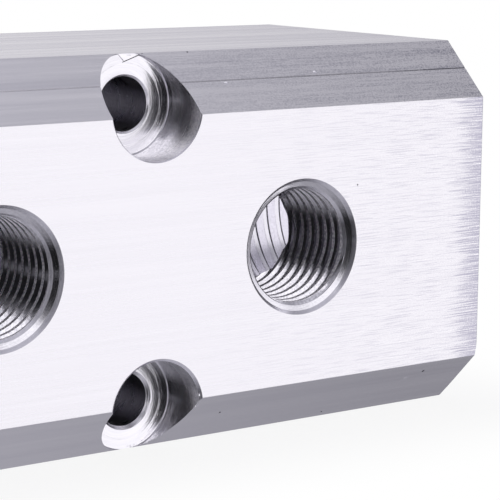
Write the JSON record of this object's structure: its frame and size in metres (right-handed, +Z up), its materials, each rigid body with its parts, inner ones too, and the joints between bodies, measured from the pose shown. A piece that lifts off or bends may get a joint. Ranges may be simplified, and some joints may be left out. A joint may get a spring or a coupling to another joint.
{
  "type": "air manifold block",
  "caption": "Bevelled square aluminium bar with a threaded main gallery along its length, a row of threaded outlets on the front and counterbored screw holes at the bevels.",
  "frame": {"origin": "middle of the underside of the bar", "axes": "+X along the bar and its main gallery, -Y towards the front with the outlets, +Z up"},
  "size_m": [0.119, 0.04, 0.04],
  "materials": {
    "brushed_aluminium": "brushed along the length, bright machined in the holes"
  },
  "bodies": {
    "root": {"manifold_block": "brushed_aluminium"}
  },
  "joints": []
}
